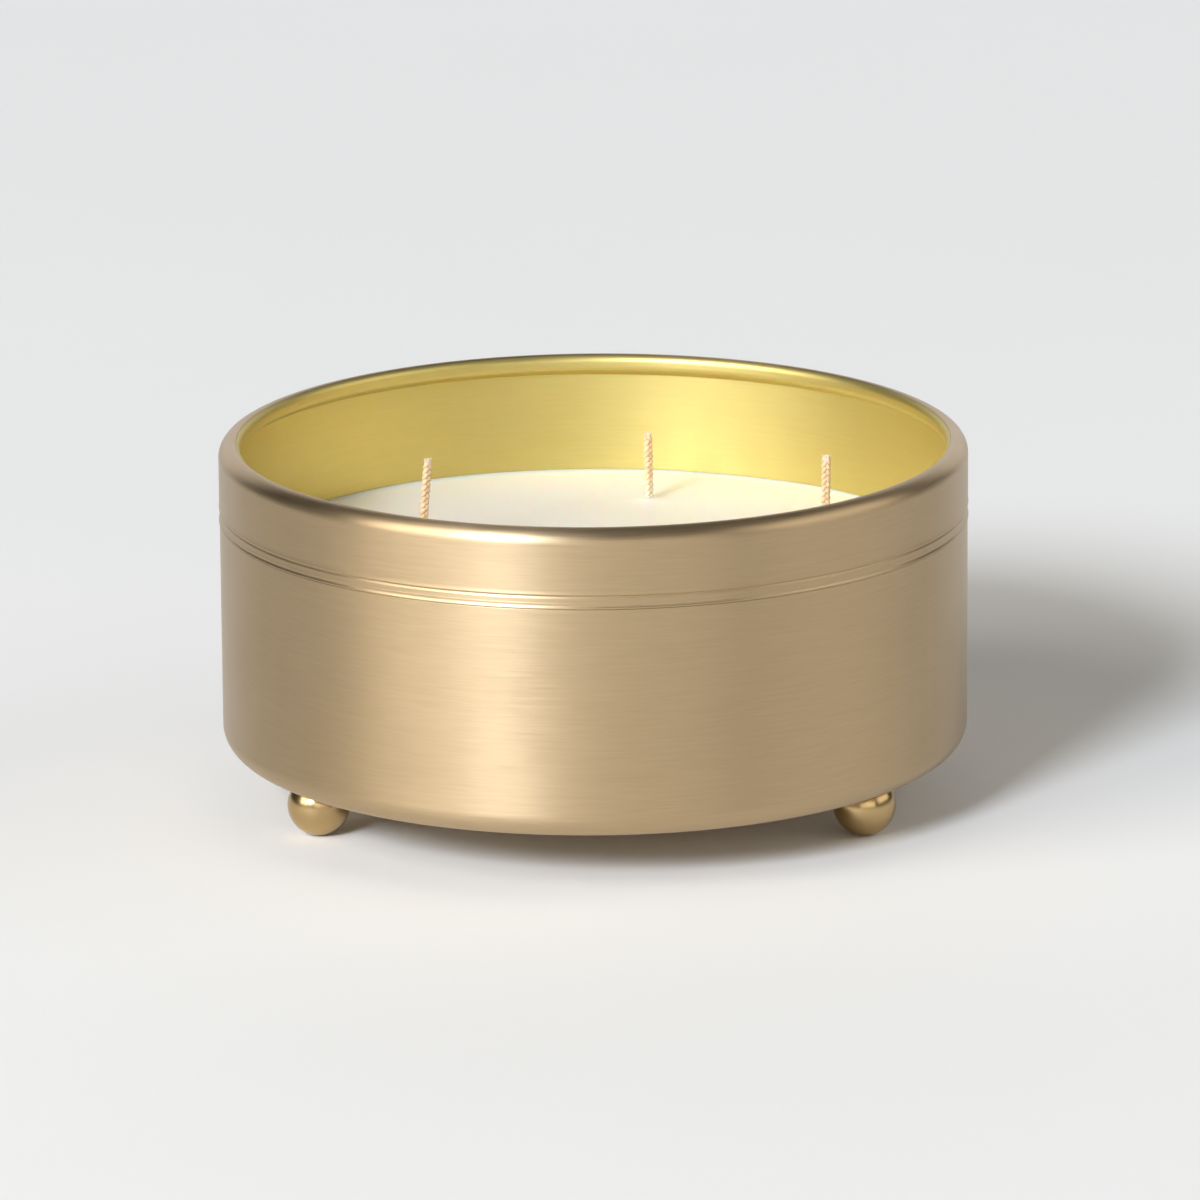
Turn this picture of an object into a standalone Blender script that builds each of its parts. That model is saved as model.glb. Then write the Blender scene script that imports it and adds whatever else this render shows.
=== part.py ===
"""Candle tin on three ball feet: a double-walled brass-finished tin, its wax and three wicks.

Frame: metres, +Z up. The origin is on the surface that the feet stand on, under the tin's axis,
and -Y is the front. All turned pieces are spun about their own +Z axis.
"""
from math import acos, asin, cos, degrees, radians, sin

import bmesh
import bpy
from mathutils import Vector

MM = 0.001

# Tin: the driving dimensions.
GAP = 0.3 * MM                  # air between neighbouring pieces
SHEET = 0.4 * MM                # thickness of the drawn sheet
BODY_RADIUS = 75.0 * MM
COLLAR_RADIUS = 75.15 * MM      # the collar stands a little proud of the body
TOTAL_HEIGHT = 73.5 * MM
SEAM_HEIGHT = 57.5 * MM         # where the collar's lower edge meets the body
BEAD_WIDTH = 0.7 * MM           # bead along the collar's lower edge
GROOVE_HEIGHT = 60.3 * MM       # the single groove rolled into the collar
CORNER_RADIUS = 4.7 * MM        # round between wall and base
HEM_WIDTH = 0.9 * MM            # flat hem between that round and the step up to the base panel
STEP_WIDTH = 1.3 * MM           # the slope from the hem up to the recessed panel
BEND = 0.2 * MM                 # small bends pressed into the sheet
CUP_CORNER = 2.5 * MM           # round at the foot of the inner cup
STAND_HEIGHT = 11.1 * MM        # lowest point of the body above the surface
BASE_HEIGHT = 12.1 * MM         # underside of the recessed base panel
CUP_BASE_HEIGHT = 15.5 * MM     # underside of the inner cup
WAX_HEIGHT = 48.8 * MM          # poured surface of the wax
TIN_STEPS = 64                  # facets round every large turned piece
WELD = 0.001 * MM               # merges only the seam of a spun piece

# Rolled rim: the collar turns over a crown into a tighter round, and the cup's curl carries that
# round on, down to a bead that runs back out into the cup's wall.
CROWN_RADIUS = 2.9 * MM
RIM_ROUND = 1.5 * MM
LIP_END = 113                   # degrees round the rim at which the collar's lip stops
CURL_START = 125                # degrees at which the cup's curl begins
BEAD_DROP = 2.2 * MM            # the bead's lower centre, below the rim's top
CURL_FOOT = 4.8 * MM            # where the bead meets the cup's wall, below the rim's top

# Feet: solid balls, each held by a screw from inside the body.
BALL_RADIUS = 6.3 * MM
BALL_REST_RADIUS = 1.2 * MM     # flat that the foot stands on
FOOT_CIRCLE = 62.7 * MM
FOOT_TURN = -1.6                # degrees that the ring of feet is turned from the front
FOOT_ANGLES = {"front_left": -60, "front_right": 60, "back": 180}
THREAD_RADIUS = 1.5 * MM
THREAD_LENGTH = 6.5 * MM
THREAD_CHAMFER = 0.4 * MM
HEAD_RADIUS = 2.8 * MM
HEAD_HEIGHT = 1.5 * MM
HEAD_CHAMFER = 0.3 * MM
SLOT_WIDTH = 0.7 * MM
WASHER_RADIUS = 3.6 * MM
SMALL_STEPS = 20                # facets round the small turned pieces

# Wicks: place on the wax, height above it, and how far the tip leans along X and Y.
WICK_RADIUS = 1.0 * MM
LEAN_STEPS = 4                  # straight runs in the leaning part of a wick
WICKS = {
    "left": ((-34.3 * MM, -3.0 * MM), 21.4 * MM, (1.4 * MM, 0.0)),
    "right": ((46.3 * MM, -6.0 * MM), 22.2 * MM, (0.3 * MM, 0.6 * MM)),
    "back": ((11.4 * MM, 48.0 * MM), 13.9 * MM, (-0.2 * MM, -0.4 * MM)),
}
TAB_RADIUS = 7.5 * MM
TAB_NECK_HEIGHT = 4.6 * MM
TAB_FILLET = 0.5 * MM           # where the tab's disc turns up into its neck
STIFF_DEPTH = 2.0 * MM          # depth in the wax from which a wick is free to lean
GLUE_RADIUS = 6.0 * MM
GLUE_HEIGHT = 0.6 * MM

# Heights and radii that follow from the ones above.
NECK_RADIUS = COLLAR_RADIUS - SHEET - GAP        # body's neck, inside the collar
CUP_RADIUS = NECK_RADIUS - SHEET - GAP           # outside of the cup's wall
CUP_BORE = CUP_RADIUS - SHEET
CUP_FLOOR = CUP_BASE_HEIGHT + SHEET
WAX_RADIUS = CUP_BORE - GAP
WAX_BASE = CUP_FLOOR + GAP
GLUE_BASE = CUP_FLOOR + GAP
TAB_BASE = GLUE_BASE + GLUE_HEIGHT + GAP
TAB_TOP = TAB_BASE + SHEET
BORE_RADIUS = THREAD_RADIUS + GAP
BALL_TOP = BASE_HEIGHT - GAP                     # flat seat under the base panel
WASHER_BASE = BASE_HEIGHT + SHEET + GAP
HEAD_BASE = WASHER_BASE + SHEET + GAP


def clear_scene():
    for item in list(bpy.data.objects):
        bpy.data.objects.remove(item, do_unlink=True)


def make_material(name, colour, roughness, metallic):
    material = bpy.data.materials.new(name)
    material.use_nodes = True
    shader = material.node_tree.nodes["Principled BSDF"]
    shader.inputs["Base Color"].default_value = (*colour, 1.0)
    shader.inputs["Roughness"].default_value = roughness
    shader.inputs["Metallic"].default_value = metallic
    material.diffuse_color = (*colour, 1.0)
    return material


def arc(centre, radius, start, end, steps):
    """Points (r, z) on an arc between two angles in degrees, both ends included."""
    angles = [radians(start + (end - start) * i / steps) for i in range(steps + 1)]
    return [(centre[0] + radius * cos(a), centre[1] + radius * sin(a)) for a in angles]


def offset(line, distance):
    """The line moved to its left by a distance, with mitred corners."""
    points = [Vector(point) for point in line]
    directions = [(b - a).normalized() for a, b in zip(points, points[1:])]
    moved = []
    for i, point in enumerate(points):
        before = directions[max(i - 1, 0)]
        after = directions[min(i, len(directions) - 1)]
        normals = [Vector((-d.y, d.x)) for d in (before, after)]
        mitre = (normals[0] + normals[1]).normalized()
        moved.append(tuple(point + mitre * (distance / mitre.dot(normals[0]))))
    return moved


def finish_mesh(name, bm, material):
    bmesh.ops.recalc_face_normals(bm, faces=bm.faces)
    mesh = bpy.data.meshes.new(name)
    bm.to_mesh(mesh)
    bm.free()
    mesh.materials.append(material)
    mesh.shade_smooth()
    mesh.set_sharp_from_angle(angle=radians(30))
    item = bpy.data.objects.new(name, mesh)
    bpy.context.collection.objects.link(item)
    return item


def turned(name, line, material, steps, ring=False):
    """A body spun from a line of (r, z). A ring's line is closed; otherwise flat discs close it."""
    bm = bmesh.new()
    verts = [bm.verts.new((r, 0, z)) for r, z in line]
    pairs = list(zip(verts, verts[1:]))
    if ring:
        pairs.append((verts[-1], verts[0]))
    edges = [bm.edges.new(pair) for pair in pairs]
    bmesh.ops.spin(bm, geom=verts + edges, cent=(0, 0, 0), axis=(0, 0, 1), angle=radians(360),
                   steps=steps, use_merge=True)
    bmesh.ops.remove_doubles(bm, verts=bm.verts, dist=WELD)
    if not ring:
        rims = [edge for edge in bm.edges if edge.is_boundary]
        bmesh.ops.holes_fill(bm, edges=rims, sides=0)
    return finish_mesh(name, bm, material)


def cut(target, cutter):
    cutter.hide_render = True
    cutter.display_type = "WIRE"
    boolean = target.modifiers.new(cutter.name, "BOOLEAN")
    boolean.operation = "DIFFERENCE"
    boolean.solver = "EXACT"
    boolean.object = cutter


def foot_place(angle):
    turn = radians(angle + FOOT_TURN)
    return FOOT_CIRCLE * sin(turn), -FOOT_CIRCLE * cos(turn)


def make_outer_shell(material):
    """Drawn body: recessed base panel, round corner, wall, and a neck stepped in for the collar."""
    corner = (BODY_RADIUS - CORNER_RADIUS, STAND_HEIGHT + CORNER_RADIUS)
    step = BODY_RADIUS - NECK_RADIUS
    outside = [
        (corner[0] - HEM_WIDTH - STEP_WIDTH, BASE_HEIGHT),
        (corner[0] - HEM_WIDTH - STEP_WIDTH / 2, BASE_HEIGHT - BEND),
        (corner[0] - HEM_WIDTH, STAND_HEIGHT + BEND),
        *arc(corner, CORNER_RADIUS, -90, 0, 5),
        (BODY_RADIUS, SEAM_HEIGHT - step),
        (NECK_RADIUS, SEAM_HEIGHT),
        (NECK_RADIUS, TOTAL_HEIGHT - CROWN_RADIUS - GAP),
    ]
    inside = offset(outside, SHEET)
    shell = turned("outer_shell", outside + inside[::-1], material, TIN_STEPS)
    for place, angle in FOOT_ANGLES.items():
        hole = turned(f"screw_hole_{place}", [(BORE_RADIUS, 0), (BORE_RADIUS, CUP_BASE_HEIGHT)],
                      material, SMALL_STEPS)
        hole.location = (*foot_place(angle), 0)
        cut(shell, hole)
    return shell


def make_rim_collar(material):
    """Upper band: lower bead, groove, plain wall, crown, and the lip turned in over the rim."""
    bead_top = SEAM_HEIGHT + BEAD_WIDTH
    strip = COLLAR_RADIUS - BEND / 2
    crown = (COLLAR_RADIUS - CROWN_RADIUS, TOTAL_HEIGHT - CROWN_RADIUS)
    lip = (crown[0], TOTAL_HEIGHT - RIM_ROUND)
    lower = [
        (COLLAR_RADIUS - BEND, SEAM_HEIGHT),
        (COLLAR_RADIUS, SEAM_HEIGHT + BEND),
        (COLLAR_RADIUS, bead_top),
        (strip, bead_top + BEND),
        (strip, GROOVE_HEIGHT - BEND),
        (strip - BEND, GROOVE_HEIGHT),
        (COLLAR_RADIUS, GROOVE_HEIGHT + BEND),
    ]
    rim = arc(crown, CROWN_RADIUS, 0, 90, 5) + arc(lip, RIM_ROUND, 90, LIP_END, 2)[1:]
    inside = [(COLLAR_RADIUS - SHEET, SEAM_HEIGHT), *offset(rim, SHEET)]
    return turned("rim_collar", lower + rim + inside[::-1], material, TIN_STEPS, ring=True)


def make_inner_cup(material):
    """Liner that holds the wax; its top curls in and up to meet the collar's lip."""
    corner = (CUP_RADIUS - CUP_CORNER, CUP_BASE_HEIGHT + CUP_CORNER)
    curl = COLLAR_RADIUS - CROWN_RADIUS
    foot = TOTAL_HEIGHT - CURL_FOOT
    wall = [
        *arc(corner, CUP_CORNER - SHEET, -90, 0, 3),
        (CUP_BORE, foot),
        (CUP_BORE - GAP, foot + GAP),
        *arc((curl, TOTAL_HEIGHT - BEAD_DROP), RIM_ROUND, 240, 180, 3),
        *arc((curl, TOTAL_HEIGHT - RIM_ROUND), RIM_ROUND, 180, CURL_START, 3),
    ]
    back = offset(wall, -SHEET)
    return turned("inner_cup", back + wall[::-1], material, TIN_STEPS)


def make_wax(material):
    round_edge = CUP_CORNER - SHEET
    centre = (WAX_RADIUS - round_edge, WAX_BASE + round_edge)
    line = [*arc(centre, round_edge, -90, 0, 3), (WAX_RADIUS, WAX_HEIGHT)]
    wax = turned("wax_fill", line, material, TIN_STEPS)
    neck_top = TAB_TOP + TAB_NECK_HEIGHT + GAP
    neck_bore = WICK_RADIUS + SHEET + 2 * GAP
    wick_bore = WICK_RADIUS + GAP
    for side, (place, _, _) in WICKS.items():
        steps = [
            (TAB_RADIUS + GAP, CUP_FLOOR),
            (TAB_RADIUS + GAP, TAB_TOP + GAP),
            (neck_bore, TAB_TOP + GAP),
            (neck_bore, neck_top),
            (wick_bore, neck_top),
            (wick_bore, TOTAL_HEIGHT),
        ]
        bore = turned(f"wick_bore_{side}", steps, material, SMALL_STEPS)
        bore.location = (*place, 0)
        cut(wax, bore)
    return wax


def make_wick(side, material):
    """Cotton wick: upright in the wax, then leaning a little towards its tip."""
    place, height, lean = WICKS[side]
    spline_points = [Vector((*place, TAB_BASE)), Vector((*place, WAX_HEIGHT - STIFF_DEPTH))]
    for i in range(LEAN_STEPS + 1):
        share = i / LEAN_STEPS
        drift = Vector((*lean, 0)) * share ** 2
        spline_points.append(Vector((*place, WAX_HEIGHT + height * share)) + drift)
    curve = bpy.data.curves.new(f"wick_{side}", "CURVE")
    curve.dimensions = "3D"
    curve.bevel_depth = WICK_RADIUS
    curve.bevel_resolution = 2
    curve.use_fill_caps = True
    spline = curve.splines.new("POLY")
    spline.points.add(len(spline_points) - 1)
    for target, point in zip(spline.points, spline_points):
        target.co = (*point, 1)
    spline.use_smooth = True
    curve.materials.append(material)
    wick = bpy.data.objects.new(f"wick_{side}", curve)
    bpy.context.collection.objects.link(wick)
    return wick


def make_wick_tab(side, material):
    """Pressed metal disc with a crimped neck that grips the foot of the wick."""
    bore = WICK_RADIUS + GAP
    neck = bore + SHEET
    line = [
        (bore, TAB_BASE),
        (TAB_RADIUS, TAB_BASE),
        (TAB_RADIUS, TAB_TOP),
        (neck + TAB_FILLET, TAB_TOP),
        (neck, TAB_TOP + TAB_FILLET),
        (neck, TAB_TOP + TAB_NECK_HEIGHT),
        (bore, TAB_TOP + TAB_NECK_HEIGHT),
    ]
    tab = turned(f"wick_tab_{side}", line, material, SMALL_STEPS, ring=True)
    tab.location = (*WICKS[side][0], 0)
    return tab


def make_glue_dot(side, material):
    """Round sticker of glue that holds the tab to the cup's floor."""
    line = [(GLUE_RADIUS, GLUE_BASE), (GLUE_RADIUS, GLUE_BASE + GLUE_HEIGHT)]
    dot = turned(f"glue_dot_{side}", line, material, SMALL_STEPS)
    dot.location = (*WICKS[side][0], 0)
    return dot


def make_ball_foot(place, material):
    """Solid ball with a flat to stand on, a flat seat on top and a tapped hole down into it."""
    rest_angle = -degrees(acos(BALL_REST_RADIUS / BALL_RADIUS))
    centre = (0, -BALL_RADIUS * sin(radians(rest_angle)))
    seat_angle = degrees(asin((BALL_TOP - centre[1]) / BALL_RADIUS))
    line = arc(centre, BALL_RADIUS, seat_angle, rest_angle, 10)
    line = [(BORE_RADIUS, BALL_TOP - THREAD_LENGTH), (BORE_RADIUS, BALL_TOP), *line]
    ball = turned(f"ball_foot_{place}", line, material, SMALL_STEPS)
    ball.location = (*foot_place(FOOT_ANGLES[place]), 0)
    return ball


def make_foot_screw(place, material):
    """Slotted cheese-head screw, head up inside the body, thread down into the ball."""
    tip = HEAD_BASE - THREAD_LENGTH
    line = [
        (THREAD_RADIUS - THREAD_CHAMFER, tip),
        (THREAD_RADIUS, tip + THREAD_CHAMFER),
        (THREAD_RADIUS, HEAD_BASE),
        (HEAD_RADIUS, HEAD_BASE),
        (HEAD_RADIUS, HEAD_BASE + HEAD_HEIGHT - HEAD_CHAMFER),
        (HEAD_RADIUS - HEAD_CHAMFER, HEAD_BASE + HEAD_HEIGHT),
    ]
    screw = turned(f"foot_screw_{place}", line, material, SMALL_STEPS)
    screw.location = (*foot_place(FOOT_ANGLES[place]), 0)
    bm = bmesh.new()
    bmesh.ops.create_cube(bm, size=1)
    bmesh.ops.scale(bm, vec=(3 * HEAD_RADIUS, SLOT_WIDTH, HEAD_HEIGHT), verts=bm.verts)
    slot = finish_mesh(f"screw_slot_{place}", bm, material)
    slot.location = (*foot_place(FOOT_ANGLES[place]), HEAD_BASE + HEAD_HEIGHT)
    cut(screw, slot)
    return screw


def make_foot_washer(place, material):
    line = [
        (BORE_RADIUS, WASHER_BASE),
        (WASHER_RADIUS, WASHER_BASE),
        (WASHER_RADIUS, WASHER_BASE + SHEET),
        (BORE_RADIUS, WASHER_BASE + SHEET),
    ]
    washer = turned(f"foot_washer_{place}", line, material, SMALL_STEPS, ring=True)
    washer.location = (*foot_place(FOOT_ANGLES[place]), 0)
    return washer


def build():
    clear_scene()
    brushed_brass = make_material("brushed_brass", (0.47, 0.32, 0.18), 0.35, 1.0)
    gold_lacquer = make_material("gold_lacquer", (0.75, 0.56, 0.18), 0.4, 0.9)
    polished_brass = make_material("polished_brass", (0.62, 0.45, 0.22), 0.12, 1.0)
    wax = make_material("wax", (0.93, 0.86, 0.70), 0.5, 0.0)
    cotton = make_material("cotton", (0.80, 0.62, 0.40), 0.9, 0.0)
    zinc_steel = make_material("zinc_steel", (0.60, 0.61, 0.62), 0.35, 1.0)
    glue = make_material("glue", (0.90, 0.90, 0.86), 0.6, 0.0)

    pieces = [make_outer_shell(brushed_brass), make_rim_collar(brushed_brass),
              make_inner_cup(gold_lacquer), make_wax(wax)]
    for side in WICKS:
        pieces += [make_wick(side, cotton), make_wick_tab(side, zinc_steel),
                   make_glue_dot(side, glue)]
    for place in FOOT_ANGLES:
        pieces += [make_ball_foot(place, polished_brass), make_foot_screw(place, zinc_steel),
                   make_foot_washer(place, zinc_steel)]

    tin = bpy.data.objects.new("candle_tin", None)
    bpy.context.collection.objects.link(tin)
    for piece in pieces:
        piece.parent = tin


build()
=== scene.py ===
"""Looks of the candle tin: brushed brass tin, gold-lacquered liner, wax, braided wicks, ball feet.

Units are metres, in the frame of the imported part: +Z up, -Y front, origin on the table.
"""
from math import acos, asin, cos, degrees, pi, radians, sin
from random import Random

import bmesh
import bpy
from mathutils import Matrix, Vector, noise


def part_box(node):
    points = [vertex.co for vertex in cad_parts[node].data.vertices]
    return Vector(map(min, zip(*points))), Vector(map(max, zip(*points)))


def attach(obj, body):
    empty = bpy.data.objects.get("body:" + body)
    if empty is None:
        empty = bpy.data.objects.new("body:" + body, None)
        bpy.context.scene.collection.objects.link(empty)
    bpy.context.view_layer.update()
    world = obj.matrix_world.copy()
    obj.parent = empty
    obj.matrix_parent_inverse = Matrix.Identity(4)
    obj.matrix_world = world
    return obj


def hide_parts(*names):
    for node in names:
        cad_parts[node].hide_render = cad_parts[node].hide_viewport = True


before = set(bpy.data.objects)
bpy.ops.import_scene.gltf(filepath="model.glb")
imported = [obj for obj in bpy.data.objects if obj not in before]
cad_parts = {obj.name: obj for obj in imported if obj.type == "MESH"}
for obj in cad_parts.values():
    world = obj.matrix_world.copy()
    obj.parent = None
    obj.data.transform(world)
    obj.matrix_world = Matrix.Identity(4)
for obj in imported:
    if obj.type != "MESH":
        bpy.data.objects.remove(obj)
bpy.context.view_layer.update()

MM = 0.001
BODY = "root"

# Camera: from the front and a little above, with a long lens.
CAMERA_DISTANCE = 2.0894
CAMERA_ELEVATION = radians(14.814)
CAMERA_ROLL = radians(-0.431)
CAMERA_TARGET = Vector((1.14 * MM, 0, 39.86 * MM))
CAMERA_LENS = 311.7
VIEW_DEPTH = 20
FLOOR_SIZE = 6

# Main sizes, read from the frame.
SHELL_LOW, SHELL_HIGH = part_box("outer_shell")
COLLAR_LOW, COLLAR_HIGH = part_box("rim_collar")
CUP_LOW, CUP_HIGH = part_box("inner_cup")
WAX_LOW, WAX_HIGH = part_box("wax_fill")
BODY_RADIUS = SHELL_HIGH.x
COLLAR_RADIUS = COLLAR_HIGH.x
RIM_TOP = COLLAR_HIGH.z
SEAM = COLLAR_LOW.z

# Sheet work.
SHEET = 0.4 * MM                # thickness of all the sheet metal
GAP = 0.3 * MM                  # clearance between the neck and the band
CORNER_RADIUS = 4.7 * MM        # round at the foot of the body
CUP_CORNER = 2.5 * MM
PANEL_RISE = 1.0 * MM           # how far the base panel is recessed
FOLD = 0.5 * MM                 # bend between the base panel and the hem round it
SEAM_LINE = SEAM + 0.2 * MM     # top of the body's shoulder, right under the band
SHOULDER = 0.08 * MM            # round on that shoulder

# Rim band, from the seam upward. Insets are measured inward from its widest line, the ridge.
BAND_FOOT = SEAM_LINE + 0.06 * MM
BEAD = 0.13 * MM                # radius of the bead along the lower edge
RING = BAND_FOOT + 1.1 * MM     # faint raised line on the strip
RIDGE = SEAM + 3.1 * MM
STRIP_INSET = 0.18 * MM
GROOVE_INSET = 0.34 * MM        # groove pressed in right under the ridge
WALL_INSET = 0.07 * MM          # plain wall above the ridge

# Rolled rim, shared by the band's lip and the liner's curl.
CROWN_RADIUS = 2.9 * MM
RIM_ROUND = 1.5 * MM            # the rim's tighter inner round
LIP_END = 113                   # degrees round the rim at which the band's lip stops
CURL_START = 115                # degrees at which the liner's curl begins
BEAD_DROP = 2.2 * MM            # lower centre of the curl, below the rim's top
CURL_FOOT = 4.8 * MM            # where the curl meets the liner's wall, below the rim's top
CURL_BEND = 0.4 * MM            # bend between that wall and the curl

# Wax.
WAX_EDGE = 2.1 * MM             # round at the foot of the wax
WAX_SINK = 0.3 * MM             # how far the open surface lies below its edge at the wall
WALL_CREEP = 1.6 * MM           # width over which the wax climbs to the wall
WICK_CREEP = 0.9 * MM           # how far it climbs up a wick, and where the climb starts
WICK_CREEP_LENGTH = 0.7 * MM
WAX_WAVE = 0.16 * MM            # height of the surface's gentle waves
WAVE_SCALE = 45                 # noise cells per metre
WAX_STEPS, WAX_RINGS = 192, 46
RING_CROWDING = 1.35            # above 1, the rings lie closer together near the wall

# Wicks.
WICK_SIDES = ("left", "right", "back")
WICK_TURNS = {"left": 30, "right": 8, "back": 38}      # degrees that each flat braid is turned
WICK_RADIUS = 1.0 * MM
STRANDS = 3
STRAND_RADIUS = 0.48 * MM
BRAID_PITCH = 3.6 * MM
BRAID_STEP = 0.22 * MM
BRAID_WIDTH = 0.48 * MM         # swing of a strand to each side
BRAID_DEPTH = 0.24 * MM         # swing of a strand forward and back
FRAY_LENGTH = 1.1 * MM          # bare tip above the braid
HAIRS = 44
HAIR_RADII = (0.13, 0.13, 0.11, 0.08, 0.04)            # millimetres, from root to tip

# Feet.
FEET = ("front_left", "front_right", "back")
REST_RADIUS = 1.2 * MM          # flat that a ball stands on
BORE_RADIUS = 1.8 * MM          # screw hole, in the ball and in the base panel
BORE_DEPTH = 6.2 * MM

ROUND_STEPS = 256
BALL_STEPS = 72
HOLE_STEPS = 48
WELD = 0.0005 * MM              # points closer together than this become one


# ---------------------------------------------------------------- geometry helpers

def arc(centre, radius, start, end, steps):
    """Points (r, z) on an arc between two angles in degrees, both ends included."""
    angles = [radians(start + (end - start) * i / steps) for i in range(steps + 1)]
    return [(centre[0] + radius * cos(a), centre[1] + radius * sin(a)) for a in angles]


def offset(line, distance):
    """The line moved to its left by a distance, with mitred corners."""
    points = [Vector(point) for point in line]
    directions = [(b - a).normalized() for a, b in zip(points, points[1:])]
    moved = []
    for i, point in enumerate(points):
        before = directions[max(i - 1, 0)]
        after = directions[min(i, len(directions) - 1)]
        normals = [Vector((-d.y, d.x)) for d in (before, after)]
        mitre = (normals[0] + normals[1]).normalized()
        moved.append(tuple(point + mitre * (distance / mitre.dot(normals[0]))))
    return moved


def supported(line, margin=0.12 * MM):
    """The line with points added near both ends of each long stretch, to keep shading true."""
    out = [line[0]]
    for a, b in zip(line, line[1:]):
        start, end = Vector(a), Vector(b)
        length = (end - start).length
        if length > 6 * margin:
            along = (end - start) / length
            out += [tuple(start + along * margin), tuple(end - along * margin)]
        out.append(b)
    return out


def spun(line, steps=ROUND_STEPS, ring=False):
    """A bmesh spun about the Z axis from a line of (r, z)."""
    bm = bmesh.new()
    verts = [bm.verts.new((r, 0, z)) for r, z in line]
    pairs = list(zip(verts, verts[1:]))
    if ring:
        pairs.append((verts[-1], verts[0]))
    edges = [bm.edges.new(pair) for pair in pairs]
    bmesh.ops.spin(bm, geom=verts + edges, cent=(0, 0, 0), axis=(0, 0, 1), angle=radians(360),
                   steps=steps, use_merge=True)
    bmesh.ops.remove_doubles(bm, verts=bm.verts, dist=WELD)
    if not ring:
        rims = [edge for edge in bm.edges if edge.is_boundary]
        bmesh.ops.holes_fill(bm, edges=rims, sides=0)
    bmesh.ops.recalc_face_normals(bm, faces=bm.faces)
    return bm


def piece(name, bm, material, replaced, sharp=35):
    """Turns a bmesh into a finished piece that rides on the tin and stands for CAD nodes."""
    mesh = bpy.data.meshes.new(name)
    bm.to_mesh(mesh)
    bm.free()
    mesh.materials.append(material)
    mesh.shade_smooth()
    mesh.set_sharp_from_angle(angle=radians(sharp))
    item = bpy.data.objects.new(name, mesh)
    bpy.context.scene.collection.objects.link(item)
    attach(item, BODY)
    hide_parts(*replaced)
    return item


def cut(item, cutters):
    """Takes the cutters' solids out of the piece, and applies the result."""
    for cutter in cutters:
        boolean = item.modifiers.new("cut", "BOOLEAN")
        boolean.operation = "DIFFERENCE"
        boolean.solver = "EXACT"
        boolean.object = cutter
    depsgraph = bpy.context.evaluated_depsgraph_get()
    mesh = bpy.data.meshes.new_from_object(item.evaluated_get(depsgraph))
    item.modifiers.clear()
    item.data = mesh
    for cutter in cutters:
        bpy.data.objects.remove(cutter)


def cutter_at(line, place):
    """A solid to cut with: the spun line, moved to a place (x, y)."""
    mesh = bpy.data.meshes.new("cutter")
    bm = spun(line, HOLE_STEPS)
    bmesh.ops.translate(bm, vec=(*place, 0), verts=bm.verts)
    bm.to_mesh(mesh)
    bm.free()
    item = bpy.data.objects.new("cutter", mesh)
    bpy.context.scene.collection.objects.link(item)
    return item


def middle(node):
    """Middle (x, y) of a CAD node's box."""
    low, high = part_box(node)
    return ((low.x + high.x) / 2, (low.y + high.y) / 2)


# ---------------------------------------------------------------- material helpers

class Recipe:
    """A node material under construction: a Principled shader and short ways to add nodes."""

    def __init__(self, name, colour, roughness, metallic=0.0):
        self.material = bpy.data.materials.new(name)
        self.material.use_nodes = True
        self.tree = self.material.node_tree
        self.shader = self.tree.nodes["Principled BSDF"]
        self.set("Base Color", (*colour, 1))
        self.set("Roughness", roughness)
        self.set("Metallic", metallic)
        self.material.diffuse_color = (*colour, 1)
        self.coordinates = self.tree.nodes.new("ShaderNodeTexCoord").outputs["Object"]

    def set(self, socket, value):
        self.shader.inputs[socket].default_value = value

    def link(self, source, target):
        self.tree.links.new(source, target)

    def noise(self, scale, detail, stretch=(1, 1, 1)):
        mapping = self.tree.nodes.new("ShaderNodeMapping")
        mapping.inputs["Scale"].default_value = stretch
        self.link(self.coordinates, mapping.inputs["Vector"])
        node = self.tree.nodes.new("ShaderNodeTexNoise")
        node.inputs["Scale"].default_value = scale
        node.inputs["Detail"].default_value = detail
        node.inputs["Roughness"].default_value = 0.55
        self.link(mapping.outputs["Vector"], node.inputs["Vector"])
        return node.outputs["Fac"]

    def spread(self, source, low, high, start=0.3, end=0.7):
        """Maps the source from start..end to low..high."""
        node = self.tree.nodes.new("ShaderNodeMapRange")
        node.inputs["From Min"].default_value = start
        node.inputs["From Max"].default_value = end
        node.inputs["To Min"].default_value = low
        node.inputs["To Max"].default_value = high
        self.link(source, node.inputs["Value"])
        return node.outputs["Result"]

    def math(self, operation, first, second):
        node = self.tree.nodes.new("ShaderNodeMath")
        node.operation = operation
        for socket, value in zip(node.inputs, (first, second)):
            if isinstance(value, (int, float)):
                socket.default_value = value
            else:
                self.link(value, socket)
        return node.outputs[0]

    def blend(self, factor, first, second):
        """A colour between two colours, by a factor that is a socket."""
        node = self.tree.nodes.new("ShaderNodeMix")
        node.data_type = "RGBA"
        self.link(factor, node.inputs[0])
        for socket, value in ((node.inputs[6], first), (node.inputs[7], second)):
            if isinstance(value, tuple):
                socket.default_value = (*value, 1)
            else:
                self.link(value, socket)
        return node.outputs[2]

    def bump(self, height, distance):
        node = self.tree.nodes.new("ShaderNodeBump")
        node.inputs["Distance"].default_value = distance
        node.inputs["Strength"].default_value = 1.0
        self.link(height, node.inputs["Height"])
        self.link(node.outputs["Normal"], self.shader.inputs["Normal"])

    def colour(self, source):
        self.link(source, self.shader.inputs["Base Color"])

    def roughness(self, source):
        self.link(source, self.shader.inputs["Roughness"])


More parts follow.
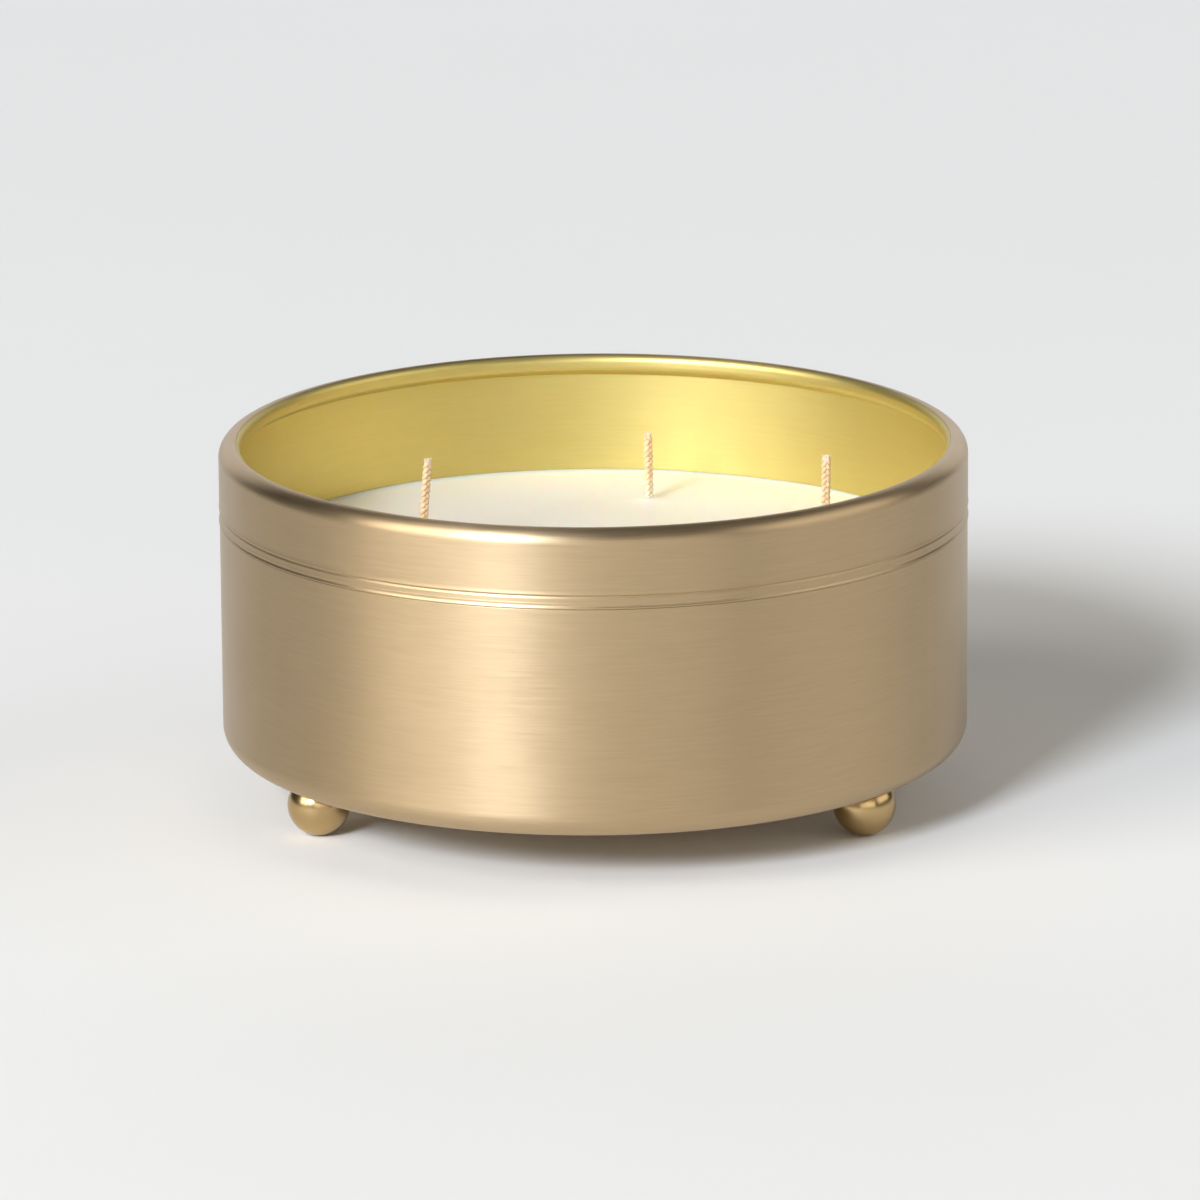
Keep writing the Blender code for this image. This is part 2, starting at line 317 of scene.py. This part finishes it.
def brushed_metal(name, light, dark, roughness, spread, anisotropy, bump):
    """Metal brushed round the Z axis: fine streaks, broken up, with highlights drawn out upward."""
    metal = Recipe(name, light, roughness, 1.0)
    metal.set("Anisotropic", anisotropy)
    metal.set("Anisotropic Rotation", 0.25)
    tangent = metal.tree.nodes.new("ShaderNodeTangent")
    tangent.direction_type = "RADIAL"
    tangent.axis = "Z"
    metal.link(tangent.outputs["Tangent"], metal.shader.inputs["Tangent"])
    fine = metal.noise(1.0, 3, (130, 130, 5000))
    long = metal.noise(1.0, 4, (70, 70, 2300))
    cloud = metal.noise(60, 3)
    streaks = metal.math("ADD", metal.math("MULTIPLY", fine, 0.55),
                         metal.math("MULTIPLY", long, 0.45))
    metal.colour(metal.blend(metal.spread(streaks, 0, 1, 0.35, 0.65), dark, light))
    base = metal.spread(streaks, roughness - spread, roughness + spread, 0.35, 0.65)
    metal.roughness(metal.math("ADD", base, metal.spread(cloud, -0.02, 0.02)))
    metal.bump(streaks, bump)
    return metal.material


def make_brushed_brass():
    """Warm brass of the body and the rim band, with clear brush streaks."""
    return brushed_metal("brushed_brass", light=(0.505, 0.375, 0.225), dark=(0.46, 0.34, 0.198),
                         roughness=0.41, spread=0.025, anisotropy=0.70, bump=0.005 * MM)


def make_gold_lacquer():
    """Yellower and smoother than the brass outside."""
    return brushed_metal("gold_lacquer", light=(0.665, 0.55, 0.20), dark=(0.63, 0.515, 0.18),
                         roughness=0.48, spread=0.02, anisotropy=0.25, bump=0.003 * MM)


def make_polished_brass():
    """Turned and buffed: a satin shine with faint haze and fine scuffs."""
    brass = Recipe("polished_brass", (0.52, 0.37, 0.17), 0.26, 1.0)
    haze = brass.noise(90, 3)
    scuff = brass.noise(1.0, 3, (900, 900, 5000))
    brass.roughness(brass.math("ADD", brass.spread(haze, 0.23, 0.26), brass.spread(scuff, 0, 0.02)))
    brass.colour(brass.blend(haze, (0.50, 0.35, 0.165), (0.53, 0.375, 0.18)))
    brass.bump(scuff, 0.001 * MM)
    return brass.material


def make_wax():
    """Cream wax that lets light in, with faint clouding and a fine grain."""
    wax = Recipe("wax", (0.88, 0.82, 0.72), 0.42)
    wax.set("Subsurface Weight", 1.0)
    wax.set("Subsurface Radius", (1.0, 0.62, 0.34))
    wax.set("Subsurface Scale", 5 * MM)
    wax.set("IOR", 1.44)
    cloud = wax.noise(28, 4)
    grain = wax.noise(900, 4)
    wax.colour(wax.blend(wax.spread(cloud, 0, 1), (0.86, 0.80, 0.70), (0.90, 0.84, 0.745)))
    wax.roughness(wax.spread(grain, 0.36, 0.50))
    wax.bump(wax.math("ADD", grain, wax.math("MULTIPLY", cloud, 3.0)), 0.03 * MM)
    return wax.material


def make_cotton(name, dark, light):
    """Braided cotton, stiff and pale with wax where it comes out of the candle."""
    cotton = Recipe(name, light, 0.8)
    cotton.set("Sheen Weight", 0.3)
    cotton.set("Subsurface Weight", 0.25)
    cotton.set("Subsurface Radius", (1.0, 0.6, 0.35))
    cotton.set("Subsurface Scale", 0.7 * MM)
    fibre = cotton.noise(1.0, 3, (9000, 9000, 1800))
    cloud = cotton.noise(700, 3)
    place = cotton.tree.nodes.new("ShaderNodeSeparateXYZ")
    cotton.link(cotton.coordinates, place.inputs["Vector"])
    above = cotton.math("SUBTRACT", place.outputs["Z"], WAX_HIGH.z)
    patchy = cotton.math("ADD", above, cotton.math("MULTIPLY", cloud, 3 * MM))
    dry = cotton.spread(patchy, 0, 1, 1.5 * MM, 7 * MM)
    yarn = cotton.blend(cotton.spread(cloud, 0, 1), dark, light)
    cotton.colour(cotton.blend(dry, (0.84, 0.68, 0.48), yarn))
    cotton.roughness(cotton.spread(dry, 0.5, 0.85, 0, 1))
    cotton.bump(fibre, 0.05 * MM)
    return cotton.material


def make_zinc_steel():
    """Zinc-plated steel of the tabs, screws and washers."""
    steel = Recipe("zinc_steel", (0.60, 0.61, 0.63), 0.35, 1.0)
    spangle = steel.noise(700, 3)
    steel.colour(steel.blend(spangle, (0.52, 0.53, 0.55), (0.68, 0.69, 0.70)))
    steel.roughness(steel.spread(spangle, 0.28, 0.45))
    return steel.material


def make_glue():
    """Pale set glue under the wick tabs."""
    glue = Recipe("glue", (0.90, 0.90, 0.86), 0.55)
    lump = glue.noise(800, 3)
    glue.roughness(glue.spread(lump, 0.45, 0.65))
    glue.bump(lump, 0.05 * MM)
    return glue.material


# ---------------------------------------------------------------- the tin

def shell_line():
    """Outer face of the body, from the base panel's edge round the corner and up to the neck."""
    base = SHELL_LOW.z
    panel = base + PANEL_RISE
    corner = (BODY_RADIUS - CORNER_RADIUS, base + CORNER_RADIUS)
    neck = COLLAR_RADIUS - SHEET - GAP
    stand = corner[0]
    step = stand - 2.4 * MM
    hem = stand - 0.6 * MM
    return supported([
        (stand - 20 * MM, panel),
        (step, panel),
        *arc((step, panel - FOLD), FOLD, 90, 30, 4)[1:],
        *arc((hem, base + 1.4 * FOLD), 1.4 * FOLD, 210, 270, 5),
        *arc(corner, CORNER_RADIUS, -90, 0, 20),
        *arc((BODY_RADIUS - SHOULDER, SEAM_LINE - SHOULDER), SHOULDER, 0, 80, 5),
        (neck, SEAM_LINE + SHOULDER / 2),
        (neck, SHELL_HIGH.z),
    ])


def make_shell(material):
    """Drawn body, with a hole in its base panel over each ball for the screw."""
    outside = shell_line()
    inside = offset(outside, SHEET)
    shell = piece("tin_body", spun(outside + inside[::-1]), material,
                  ["outer_shell"])
    hole = [(BORE_RADIUS, 0), (BORE_RADIUS, CUP_LOW.z)]
    cut(shell, [cutter_at(hole, middle(f"ball_foot_{place}")) for place in FEET])


def make_collar(material):
    """Rim band: beaded lower edge, strip, ridge, plain wall, crown, and the lip turned in."""
    crown = (COLLAR_RADIUS - WALL_INSET - CROWN_RADIUS, RIM_TOP - CROWN_RADIUS)
    lip = (crown[0], RIM_TOP - RIM_ROUND)
    wall = COLLAR_RADIUS - WALL_INSET
    strip = COLLAR_RADIUS - STRIP_INSET
    groove = COLLAR_RADIUS - GROOVE_INSET
    outside = supported([
        *arc((COLLAR_RADIUS - BEAD, BAND_FOOT + BEAD), BEAD, -80, 0, 6),
        *arc((COLLAR_RADIUS - BEAD, BAND_FOOT + 2 * BEAD), BEAD, 0, 35, 3),
        (strip, BAND_FOOT + 4.5 * BEAD),
        (strip, RING - 0.15 * MM),
        (strip + 0.05 * MM, RING),
        (strip, RING + 0.15 * MM),
        (strip, RIDGE - 0.66 * MM),
        (groove, RIDGE - 0.42 * MM),
        (groove, RIDGE - 0.26 * MM),
        (COLLAR_RADIUS - 0.02 * MM, RIDGE - 0.02 * MM),
        (COLLAR_RADIUS, RIDGE + 0.1 * MM),
        (COLLAR_RADIUS - 0.015 * MM, RIDGE + 0.22 * MM),
        (wall + 0.01 * MM, RIDGE + 0.55 * MM),
        (wall, RIDGE + 0.8 * MM),
        *arc(crown, CROWN_RADIUS, 0, 90, 18),
        *arc(lip, RIM_ROUND, 90, LIP_END, 8)[1:],
    ])
    above_ridge = [point for point in outside if point[1] > RIDGE + 0.7 * MM]
    inside = [(COLLAR_RADIUS - SHEET, BAND_FOOT + 0.1 * MM), *offset(above_ridge, SHEET)]
    piece("rim_band", spun(outside + inside[::-1], ring=True), material,
          ["rim_collar"], sharp=50)


def make_liner(material):
    """Gold-lacquered cup: floor, wall, and the curl that carries on the rim's round inside."""
    bore = CUP_HIGH.x - SHEET
    curl = COLLAR_RADIUS - WALL_INSET - CROWN_RADIUS
    foot = RIM_TOP - CURL_FOOT
    floor_centre = (CUP_HIGH.x - CUP_CORNER, CUP_LOW.z + CUP_CORNER)
    wall = supported([
        (bore - 12 * MM, CUP_LOW.z + SHEET),
        *arc(floor_centre, CUP_CORNER - SHEET, -90, 0, 8),
        *arc((bore - CURL_BEND, foot), CURL_BEND, 0, 60, 5),
        *arc((curl, RIM_TOP - BEAD_DROP), RIM_ROUND, 240, 180, 10),
        *arc((curl, RIM_TOP - RIM_ROUND), RIM_ROUND, 180, CURL_START, 12),
    ])
    back = offset(wall, -SHEET)
    piece("gold_liner", spun(back + wall[::-1]), material, ["inner_cup"], sharp=60)


def fall_off(distance, length):
    """Falls from 1 to about a third over each length, and is 1 below a distance of 0."""
    return 2.718 ** (-max(0.0, distance) / length)


def wax_height(x, y, wicks):
    """Poured surface: gently uneven, climbing a little at the wall and up each wick."""
    r = Vector((x, y)).length
    inner = WAX_HIGH.x - WALL_CREEP
    wall_rise = WAX_SINK * (max(0.0, r - inner) / WALL_CREEP) ** 2
    away = [(Vector((x, y)) - wick).length - WICK_CREEP for wick in wicks]
    wick_rise = sum(WICK_CREEP * fall_off(distance, WICK_CREEP_LENGTH) for distance in away)
    wave = WAX_WAVE * (noise.noise(Vector((x, y, 0)) * WAVE_SCALE) - 0.2)
    return WAX_HIGH.z - WAX_SINK + wall_rise + min(wick_rise, WICK_CREEP) + wave


def make_wax_fill(material):
    """Wax up to the liner's wall, with a rounded foot and an uneven open surface."""
    wicks = [Vector(middle(f"wick_tab_{side}")) for side in WICK_SIDES]
    radius = WAX_HIGH.x
    bm = bmesh.new()
    foot = arc((radius - WAX_EDGE, WAX_LOW.z + WAX_EDGE), WAX_EDGE, -90, 0, 6)
    columns = []
    for i in range(WAX_STEPS):
        a = 2 * pi * i / WAX_STEPS
        column = [bm.verts.new((r * cos(a), r * sin(a), z)) for r, z in foot]
        for k in range(WAX_RINGS):
            share = k / WAX_RINGS
            r = radius * (1 - share ** RING_CROWDING)
            x, y = r * cos(a), r * sin(a)
            column.append(bm.verts.new((x, y, wax_height(x, y, wicks))))
        columns.append(column)
    hub = bm.verts.new((0, 0, wax_height(0, 0, wicks)))
    for i in range(WAX_STEPS):
        here, there = columns[i], columns[(i + 1) % WAX_STEPS]
        for k in range(len(here) - 1):
            bm.faces.new((here[k], there[k], there[k + 1], here[k + 1]))
        bm.faces.new((here[-1], there[-1], hub))
    bm.faces.new([column[0] for column in reversed(columns)])
    bmesh.ops.recalc_face_normals(bm, faces=bm.faces)
    piece("wax", bm, material, ["wax_fill"])


# ---------------------------------------------------------------- wicks

def tube(bm, points, radii, sides):
    """A closed round tube through points, with a radius at each."""
    rings = []
    for i, point in enumerate(points):
        along = (points[min(i + 1, len(points) - 1)] - points[max(i - 1, 0)]).normalized()
        if i == 0:
            across = along.orthogonal().normalized()
        else:
            across = (across - along * across.dot(along)).normalized()
        over = along.cross(across)
        angles = [2 * pi * s / sides for s in range(sides)]
        rings.append([bm.verts.new(point + (across * cos(a) + over * sin(a)) * radii[i])
                      for a in angles])
    for low, high in zip(rings, rings[1:]):
        for s in range(sides):
            t = (s + 1) % sides
            bm.faces.new((low[s], low[t], high[t], high[s]))
    bm.faces.new(rings[0][::-1])
    bm.faces.new(rings[-1])


def wick_axis(side, z):
    """Middle of the wick at a height: upright in the wax, leaning more and more above it."""
    low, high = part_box(f"wick_{side}")
    x, y = middle(f"wick_tab_{side}")
    share = max(0.0, (z - WAX_HIGH.z) / (high.z - WAX_HIGH.z))
    lean_x = (high.x - WICK_RADIUS if high.x - x > x - low.x else low.x + WICK_RADIUS) - x
    lean_y = (high.y - WICK_RADIUS if high.y - y > y - low.y else low.y + WICK_RADIUS) - y
    return Vector((x + lean_x * share ** 2, y + lean_y * share ** 2, z))


def make_wick(side, yarn, loose, seed):
    """Flat three-strand braid of cotton, turned its own way, with a pale frayed tip."""
    low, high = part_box(f"wick_{side}")
    bm = bmesh.new()
    random = Random(seed)
    top = high.z - FRAY_LENGTH
    count = int((top - low.z) / BRAID_STEP)
    turn = Matrix.Rotation(radians(WICK_TURNS[side]), 3, "Z")
    for strand in range(STRANDS):
        phase = 2 * pi * strand / STRANDS
        points = []
        for i in range(count + 1):
            z = low.z + (top - low.z) * i / count
            angle = 2 * pi * z / BRAID_PITCH + phase
            swing = turn @ Vector((BRAID_WIDTH * sin(angle), BRAID_DEPTH * sin(2 * angle), 0))
            points.append(wick_axis(side, z) + swing)
        tube(bm, points, [STRAND_RADIUS] * len(points), 9)
    strand_faces = set(bm.faces)
    for hair in range(HAIRS):
        start = wick_axis(side, top - random.uniform(0.1, 1.3) * MM)
        angle = random.uniform(0, 2 * pi)
        out = turn @ Vector((cos(angle), 0.6 * sin(angle), 0))
        start += out * random.uniform(0.1, 0.6) * MM
        reach = random.uniform(-0.1, 0.55) * MM
        height = random.uniform(1.2, 2.6) * MM
        points = [start + out * reach * t * t + Vector((0, 0, height * t))
                  for t in (0, 0.3, 0.6, 0.85, 1)]
        points = [Vector((p.x, p.y, min(p.z, high.z - 0.01 * MM * hair))) for p in points]
        tube(bm, points, [width * MM for width in HAIR_RADII], 5)
    for face in bm.faces:
        if face not in strand_faces:
            face.material_index = 1
    bmesh.ops.recalc_face_normals(bm, faces=bm.faces)
    wick = piece(f"braided_wick_{side}", bm, yarn, [f"wick_{side}"], sharp=60)
    wick.data.materials.append(loose)


# ---------------------------------------------------------------- feet

def make_ball(place, material):
    """Ball with a flat to stand on, a flat seat and the screw's bore."""
    low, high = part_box(f"ball_foot_{place}")
    radius = (high.x - low.x) / 2
    centre = (0, (radius ** 2 - REST_RADIUS ** 2) ** 0.5)
    seat_angle = degrees(asin((high.z - centre[1]) / radius))
    line = arc(centre, radius, seat_angle, -degrees(acos(REST_RADIUS / radius)), 40)
    line = [(BORE_RADIUS, high.z - BORE_DEPTH), (BORE_RADIUS, line[0][1]), *line]
    bm = spun(line, BALL_STEPS)
    bmesh.ops.translate(bm, vec=(*middle(f"ball_foot_{place}"), 0), verts=bm.verts)
    piece(f"polished_ball_{place}", bm, material, [f"ball_foot_{place}"])


# ---------------------------------------------------------------- stage

COOL = (0.94, 1.01, 1.13)
WARM = (1.03, 1.0, 0.93)


def direction(azimuth, elevation):
    """From the tin towards a light: azimuth 0 is the camera's side, positive to its right."""
    a, e = radians(azimuth), radians(elevation)
    return Vector((sin(a) * cos(e), -cos(a) * cos(e), sin(e)))


def add_area(name, azimuth, elevation, distance, size, power, colour=(1, 1, 1)):
    """Soft rectangular light that faces the tin."""
    light = bpy.data.lights.new(name, "AREA")
    light.shape = "RECTANGLE"
    light.size, light.size_y = size
    light.energy = power
    light.color = colour
    item = bpy.data.objects.new(name, light)
    item.location = direction(azimuth, elevation) * distance
    item.rotation_euler = item.location.to_track_quat("Z", "Y").to_euler()
    item.visible_camera = False
    bpy.context.scene.collection.objects.link(item)


def add_sun(name, azimuth, elevation, angle, strength, colour):
    """Even light from far away, as wide as the angle in degrees that it fills."""
    light = bpy.data.lights.new(name, "SUN")
    light.angle = radians(angle)
    light.energy = strength
    light.color = colour
    item = bpy.data.objects.new(name, light)
    item.rotation_euler = direction(azimuth, elevation).to_track_quat("Z", "Y").to_euler()
    bpy.context.scene.collection.objects.link(item)


def make_stage():
    """Plain pale floor, a dim world, a soft key from the front left and broad lights round it."""
    floor_paint = Recipe("pale_floor", (0.82, 0.81, 0.785), 0.7)
    patch = floor_paint.noise(6, 4)
    floor_paint.colour(floor_paint.blend(patch, (0.81, 0.80, 0.775), (0.83, 0.82, 0.795)))
    bm = bmesh.new()
    bmesh.ops.create_grid(bm, x_segments=1, y_segments=1, size=FLOOR_SIZE)
    mesh = bpy.data.meshes.new("floor")
    bm.to_mesh(mesh)
    bm.free()
    mesh.materials.append(floor_paint.material)
    floor = bpy.data.objects.new("floor", mesh)
    bpy.context.scene.collection.objects.link(floor)

    world = bpy.data.worlds.new("studio")
    world.use_nodes = True
    background = world.node_tree.nodes["Background"]
    background.inputs["Color"].default_value = (1.0, 0.995, 0.985, 1)
    background.inputs["Strength"].default_value = 0.04
    bpy.context.scene.world = world
    add_sun("key", -30, 28, 15, 3.2, COOL)
    add_area("left_softbox", -57, 30, 2.2, (1.2, 1.6), 29, WARM)
    add_area("front_softbox", 12, 14, 2.4, (2.4, 0.8), 10.7, WARM)
    add_area("right_softbox", 80, 30, 2.4, (2.4, 1.6), 18.5, WARM)
    add_area("back_panel", 180, 18, 2.4, (4.0, 1.4), 17)
    add_area("overhead", 0, 89, 2.6, (2.6, 2.6), 2.4)


def make_camera():
    """Camera in front of the tin and above it, turned and rolled a touch."""
    data = bpy.data.cameras.new("camera")
    data.lens = CAMERA_LENS
    data.clip_end = VIEW_DEPTH
    camera = bpy.data.objects.new("camera", data)
    back = Vector((0, -cos(CAMERA_ELEVATION), sin(CAMERA_ELEVATION)))
    camera_place = Vector((0, 0, CAMERA_TARGET.z)) + back * CAMERA_DISTANCE
    ahead = (CAMERA_TARGET - camera_place).normalized()
    right = ahead.cross(Vector((0, 0, 1))).normalized()
    up = right.cross(ahead)
    tilted_right = right * cos(CAMERA_ROLL) + up * sin(CAMERA_ROLL)
    tilted_up = up * cos(CAMERA_ROLL) - right * sin(CAMERA_ROLL)
    turn = Matrix((tilted_right, tilted_up, -ahead)).transposed()
    camera.matrix_world = Matrix.Translation(camera_place) @ turn.to_4x4()
    bpy.context.scene.collection.objects.link(camera)
    bpy.context.scene.camera = camera


# ---------------------------------------------------------------- build

make_camera()
make_stage()
bpy.context.scene.view_settings.view_transform = "Standard"

brass = make_brushed_brass()
gold = make_gold_lacquer()
polished = make_polished_brass()
wax_material = make_wax()
cotton = make_cotton("cotton", (0.70, 0.44, 0.23), (0.85, 0.60, 0.35))
loose_cotton = make_cotton("loose_cotton", (0.80, 0.60, 0.38), (0.90, 0.76, 0.58))
steel = make_zinc_steel()
glue = make_glue()

make_shell(brass)
make_collar(brass)
make_liner(gold)
make_wax_fill(wax_material)
for number, side in enumerate(WICK_SIDES):
    make_wick(side, cotton, loose_cotton, number)
for place in FEET:
    make_ball(place, polished)
for name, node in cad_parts.items():
    if name.startswith(("wick_tab", "foot_screw", "foot_washer")):
        node.data.materials[0] = steel
    if name.startswith("glue_dot"):
        node.data.materials[0] = glue
